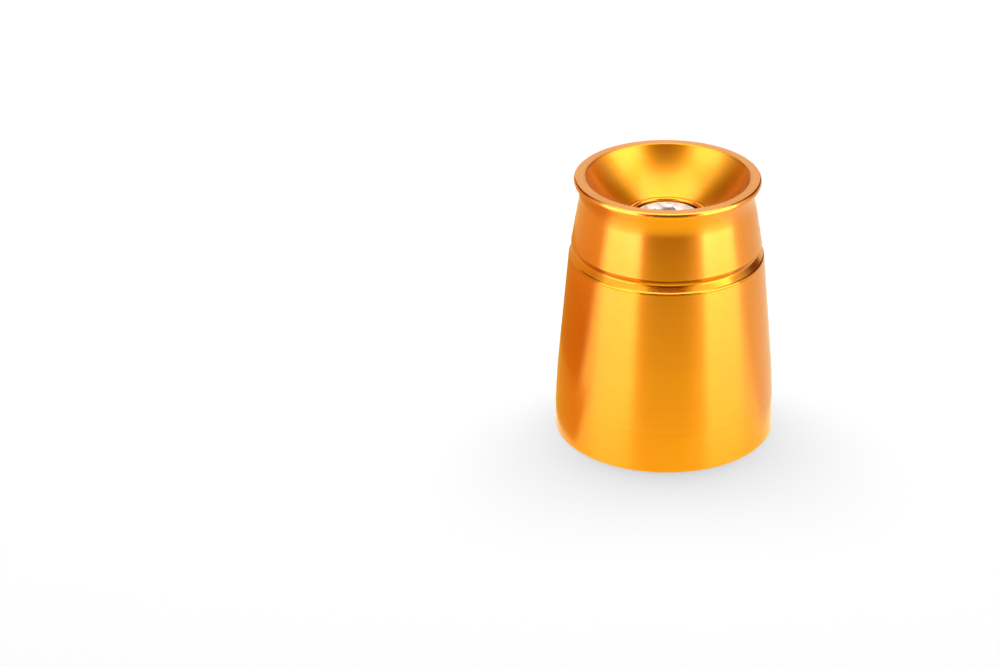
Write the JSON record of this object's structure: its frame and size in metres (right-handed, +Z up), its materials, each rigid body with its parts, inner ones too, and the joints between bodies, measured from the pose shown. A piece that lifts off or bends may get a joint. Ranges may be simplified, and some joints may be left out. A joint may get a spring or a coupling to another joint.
{
  "type": "bar end weight",
  "caption": "Turned aluminium bar end weight: wide flat end, slightly barrelled flank, ring groove, flared rim round a dished end, socket head cap screw sunk in its middle.",
  "frame": {"origin": "centre of the wide flat end that meets the bar, which is the lowest point", "axes": "+Z up the turning axis, from the wide end to the dished end; X and Y are any two square directions, because the weight is round"},
  "size_m": [0.034, 0.034, 0.042],
  "materials": {
    "gold_anodised": "satin gold anodising over fine turning lines",
    "stainless_screw": "bright stainless steel, lightly etched on the head's face"
  },
  "bodies": {
    "root": {"weight": "gold_anodised", "cap_screw": "stainless_screw"}
  },
  "joints": []
}
